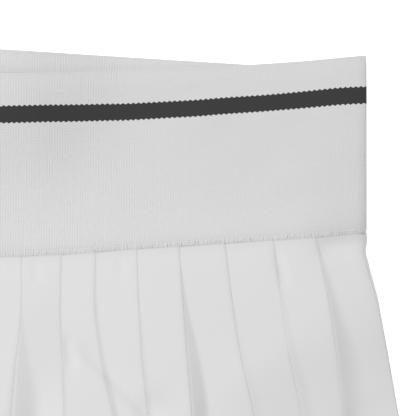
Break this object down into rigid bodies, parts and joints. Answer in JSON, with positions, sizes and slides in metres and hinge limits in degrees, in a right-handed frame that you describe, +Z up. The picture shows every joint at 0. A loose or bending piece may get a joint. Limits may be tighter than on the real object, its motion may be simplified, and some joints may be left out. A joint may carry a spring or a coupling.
{
  "type": "pleated badminton skirt, laid flat",
  "caption": "Short knife-pleated sports skirt on a wide ribbed elastic waistband with one dark woven stripe, laid flat and face up.",
  "frame": {"origin": "on the surface that the skirt lies on, under the middle of its outline", "axes": "+X across the skirt towards the wearer's left side, +Y towards the top of the waistband, +Z up from the surface through the front"},
  "size_m": [0.439, 0.3822, 0.0101],
  "materials": {
    "elastic": "white woven rib elastic with a thin charcoal stripe, matt",
    "pleat_cloth": "white fine smooth polyester, pressed in pleats, matt with a faint sheen",
    "thread": "white sewing thread"
  },
  "bodies": {
    "root": {"waistband": "elastic", "front_panel": "pleat_cloth", "back_panel": "pleat_cloth"}
  },
  "joints": []
}
